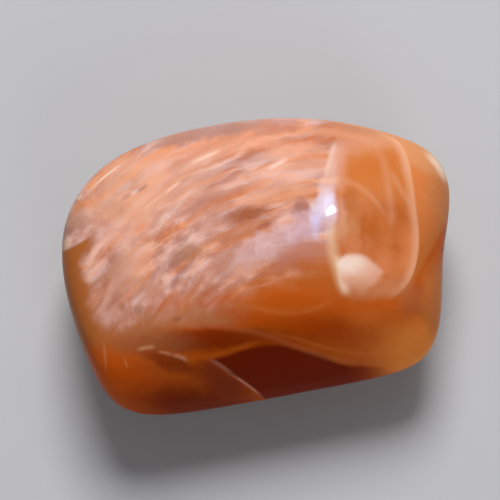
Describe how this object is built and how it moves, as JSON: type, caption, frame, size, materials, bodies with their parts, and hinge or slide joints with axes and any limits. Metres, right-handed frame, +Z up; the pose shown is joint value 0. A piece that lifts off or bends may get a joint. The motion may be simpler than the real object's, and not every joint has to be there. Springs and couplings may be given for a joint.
{
  "type": "tumbled moonstone",
  "caption": "Tumbled peach moonstone: a smooth polished pebble with a broad top, a long front slope and a small flat it rests on.",
  "frame": {"origin": "on the surface the stone rests on, under the middle of its bounding box", "axes": "+X along the stone's length towards its squarer, glassy end, +Y towards its steep back, +Z up from the small resting flat to the broad top"},
  "size_m": [0.025, 0.0192, 0.0126],
  "materials": {
    "peach_feldspar": "tumble polished, translucent"
  },
  "bodies": {
    "root": {"moonstone": "peach_feldspar"}
  },
  "joints": []
}
